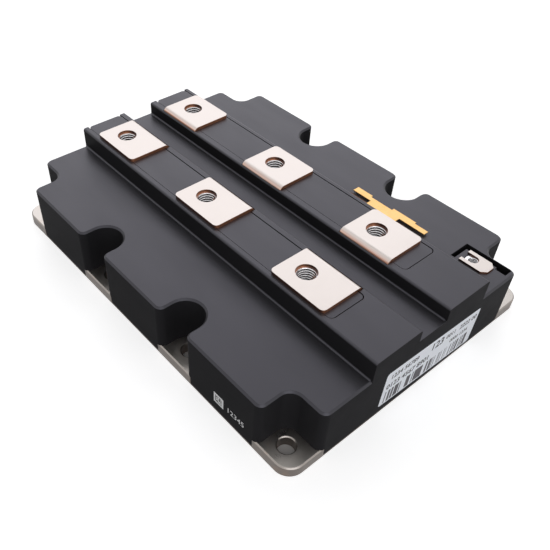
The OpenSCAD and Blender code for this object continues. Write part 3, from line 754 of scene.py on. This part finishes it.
code_square("side_code", on_side(54.0, 5.4), 5.6 * MM, 1, pale_ink)
code_square("side_code_cells", on_side(54.9, 6.3, lifts=2), 3.8 * MM, 10, black_ink)
digits(
    "side_number", "12345", 2.8 * MM,
    face_matrix(on_side(61.4, 6.6), SIDE_RIGHT, SIDE_UP), pale_ink, weight=0.004,
)

# ------------------------------------------------------------------ studio

# azimuth, elevation and roll in degrees, the lens and the sensor in
# millimetres, and the shift in widths of the sensor
CAMERA_ANGLES = (-39.82, 45.03, 0.56)
CAMERA_TARGET = (0.0185, -0.0359, 0.015)
CAMERA_DISTANCE = 0.2796
CAMERA_LENS = 43.67
SENSOR_WIDTH = 36.0
CAMERA_SHIFT = (0.0926, 0.0273)
CLIP_START = 0.01

FLOOR_REACH = 6.0
LAMP_PLACE = (-1.0, 0.8, 0.78)
FILL_PLACE = (1.15, -0.55, 0.40)

# strength of the world as a light, and in reflections towards the overhead lamp
WORLD_LEVEL = 0.36
GLOSS_LEVEL = 0.3

# cosines of the angle to that lamp, between which reflections fall from 1
FALL_START = 0.70
FALL_END = 0.94


def area_light(name, place, size, watts, tint):
    """Rectangular lamp that looks at the zero point."""
    light = bpy.data.lights.new(name, "AREA")
    light.shape = "RECTANGLE"
    light.size, light.size_y = size
    light.energy = watts
    light.color = tint
    lamp = bpy.data.objects.new(name, light)
    lamp.location = place
    lamp.rotation_euler = (-Vector(place)).to_track_quat("-Z", "Y").to_euler()
    bpy.context.scene.collection.objects.link(lamp)


def build_floor():
    mesh = bpy.data.meshes.new("floor")
    corners = [
        (x * FLOOR_REACH, y * FLOOR_REACH, 0) for x, y in ((-1, -1), (1, -1), (1, 1), (-1, 1))
    ]
    mesh.from_pydata(corners, [], [(0, 1, 2, 3)])
    mesh.materials.append(floor_material())
    floor = bpy.data.objects.new("floor", mesh)
    bpy.context.scene.collection.objects.link(floor)


def build_world():
    """A room that is white to the lens and in reflections, and elsewhere an even light."""
    world = bpy.data.worlds.new("studio")
    world.use_nodes = True
    bpy.context.scene.world = world
    nodes = world.node_tree.nodes
    links = world.node_tree.links
    background = nodes["Background"]
    path = nodes.new("ShaderNodeLightPath")
    # reflections add the lamp's light to the room's, so the room is dimmer there
    direction = nodes.new("ShaderNodeTexCoord")
    facing = nodes.new("ShaderNodeVectorMath")
    facing.operation = "DOT_PRODUCT"
    links.new(direction.outputs["Generated"], facing.inputs[0])
    facing.inputs[1].default_value = Vector(LAMP_PLACE).normalized()
    room = nodes.new("ShaderNodeMapRange")
    for socket, number in zip(room.inputs[1:5], (FALL_START, FALL_END, 1.0, GLOSS_LEVEL)):
        socket.default_value = number
    links.new(facing.outputs["Value"], room.inputs["Value"])
    # sockets 2 and 3 of these are the ones for plain numbers
    gloss = nodes.new("ShaderNodeMix")
    seen = nodes.new("ShaderNodeMix")
    for step, ray in ((gloss, "Is Glossy Ray"), (seen, "Is Camera Ray")):
        step.data_type = "FLOAT"
        links.new(path.outputs[ray], step.inputs["Factor"])
    gloss.inputs[2].default_value = WORLD_LEVEL
    links.new(room.outputs[0], gloss.inputs[3])
    links.new(gloss.outputs[0], seen.inputs[2])
    seen.inputs[3].default_value = 1.0
    links.new(seen.outputs[0], background.inputs["Strength"])
    background.inputs["Color"].default_value = (1.0, 1.0, 1.0, 1.0)


def build_camera():
    azimuth, elevation, roll = (math.radians(a) for a in CAMERA_ANGLES)
    away = Vector(
        (
            math.cos(elevation) * math.cos(azimuth),
            math.cos(elevation) * math.sin(azimuth),
            math.sin(elevation),
        )
    )
    level = Vector((0, 0, 1)).cross(away).normalized()
    upright = away.cross(level)
    right = level * math.cos(roll) + upright * math.sin(roll)
    up = upright * math.cos(roll) - level * math.sin(roll)
    matrix = Matrix((right, up, away)).transposed().to_4x4()
    matrix.translation = Vector(CAMERA_TARGET) + away * CAMERA_DISTANCE
    camera = bpy.data.cameras.new("camera")
    camera.sensor_width = SENSOR_WIDTH
    camera.lens = CAMERA_LENS
    camera.shift_x, camera.shift_y = CAMERA_SHIFT
    camera.clip_start = CLIP_START
    holder = bpy.data.objects.new("camera", camera)
    holder.matrix_world = matrix
    bpy.context.scene.collection.objects.link(holder)
    bpy.context.scene.camera = holder


build_camera()
build_floor()
build_world()
area_light("fill", FILL_PLACE, size=(1.3, 1.1), watts=6.0, tint=(0.95, 0.96, 1.0))
area_light("overhead", LAMP_PLACE, size=(1.7, 1.5), watts=10.0, tint=(0.98, 0.97, 1.0))

bpy.context.scene.view_settings.view_transform = "Standard"
